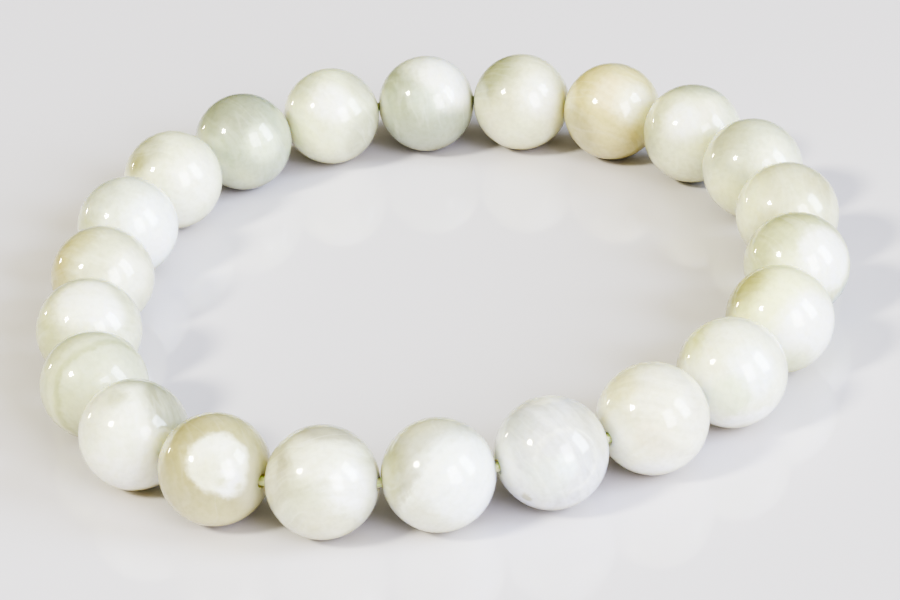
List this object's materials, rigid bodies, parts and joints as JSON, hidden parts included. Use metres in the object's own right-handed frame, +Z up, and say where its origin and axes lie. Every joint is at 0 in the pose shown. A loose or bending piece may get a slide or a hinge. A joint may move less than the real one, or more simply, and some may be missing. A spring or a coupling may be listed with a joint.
{
  "type": "beaded stretch bracelet",
  "caption": "Stretch bracelet of round drilled moonstone beads on one closed elastic cord, lying flat; slips over the hand and sits round the wrist.",
  "frame": {"origin": "middle of the bracelet's footprint, on the surface that it lies on", "axes": "+Z up; +Y from the front of the bracelet to its back, along its longer side; +X to the right seen from the front"},
  "size_m": [0.062, 0.065, 0.008],
  "materials": {
    "moonstone_white": "cream-white moonstone with soft silky bands, polished",
    "moonstone_clear": "half-clear white moonstone with a bluish sheen, polished",
    "moonstone_green": "pale yellow-green translucent moonstone with curved bands, polished",
    "moonstone_grey": "grey-green moonstone with white streaks, polished",
    "moonstone_khaki": "khaki-rimmed moonstone with a white core, polished",
    "moonstone_peach": "pale peach moonstone, polished",
    "elastic_cord": "pale green translucent elastic cord, satin"
  },
  "bodies": {
    "root": {"bead_01": "moonstone_grey", "bead_02": "moonstone_khaki", "bead_03": "moonstone_white", "bead_04": "moonstone_clear", "bead_05": "moonstone_clear", "bead_06": "moonstone_white", "bead_07": "moonstone_white", "bead_08": "moonstone_green", "bead_09": "moonstone_clear", "bead_10": "moonstone_green", "bead_11": "moonstone_green", "bead_12": "moonstone_green", "bead_13": "moonstone_peach", "bead_14": "moonstone_green", "bead_15": "moonstone_white", "bead_16": "moonstone_green", "bead_17": "moonstone_grey", "bead_18": "moonstone_white", "bead_19": "moonstone_white", "bead_20": "moonstone_khaki", "bead_21": "moonstone_white", "bead_22": "moonstone_green", "elastic_cord": "elastic_cord"}
  },
  "joints": []
}
